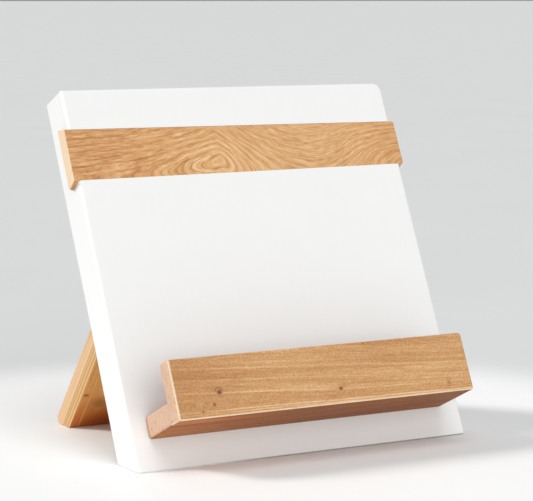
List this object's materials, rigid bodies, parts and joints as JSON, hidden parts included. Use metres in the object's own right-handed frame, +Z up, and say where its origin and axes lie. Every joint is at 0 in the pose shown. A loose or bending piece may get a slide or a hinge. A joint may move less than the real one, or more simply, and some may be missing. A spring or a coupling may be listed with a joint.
{
  "type": "book display stand",
  "caption": "Painted wooden board that leans back, with an inlaid timber band, an L-shaped ledge that holds a book or tablet, and a hinged rear leg that folds flat.",
  "frame": {"origin": "on the table, under the centre of the whole open stand's bounding box", "axes": "+X to the right of someone facing the board, +Y back from the board to the leg, +Z up"},
  "size_m": [0.2606, 0.2073, 0.2396],
  "materials": {
    "white_paint": "solid wood under satin white paint, slightly soft at the edges",
    "band_oak": "golden oak, oiled, open grain",
    "shelf_wood": "warm brown wood, oiled, fine straight grain",
    "lip_wood": "warm brown wood with small knots, oiled, fine straight grain",
    "leg_wood": "warm brown plank, oiled, grain along its length",
    "hinge_brass": "satin brass, lightly tarnished",
    "hinge_pin_brass": "satin brass",
    "screw_brass": "brass wood screws with cross recesses",
    "screw_steel": "zinc plated steel"
  },
  "bodies": {
    "board": {"board_panel": "white_paint", "top_band": "band_oak", "ledge_shelf": "shelf_wood", "ledge_lip": "lip_wood", "ledge_screws": "screw_steel", "left_board_leaf": "hinge_brass", "left_hinge_pin": "hinge_pin_brass", "left_board_leaf_screws": "screw_brass", "right_board_leaf": "hinge_brass", "right_hinge_pin": "hinge_pin_brass", "right_board_leaf_screws": "screw_brass"},
    "leg": {"support_leg": "leg_wood", "left_leg_leaf": "hinge_brass", "left_leg_leaf_screws": "screw_brass", "right_leg_leaf": "hinge_brass", "right_leg_leaf_screws": "screw_brass"}
  },
  "joints": [
    {"name": "leg_fold", "type": "hinge", "parent": "board", "child": "leg", "pos_m": [0, 0.00578, 0.09256], "axis": [-1, 0, 0], "range_deg": [0, 64]}
  ]
}
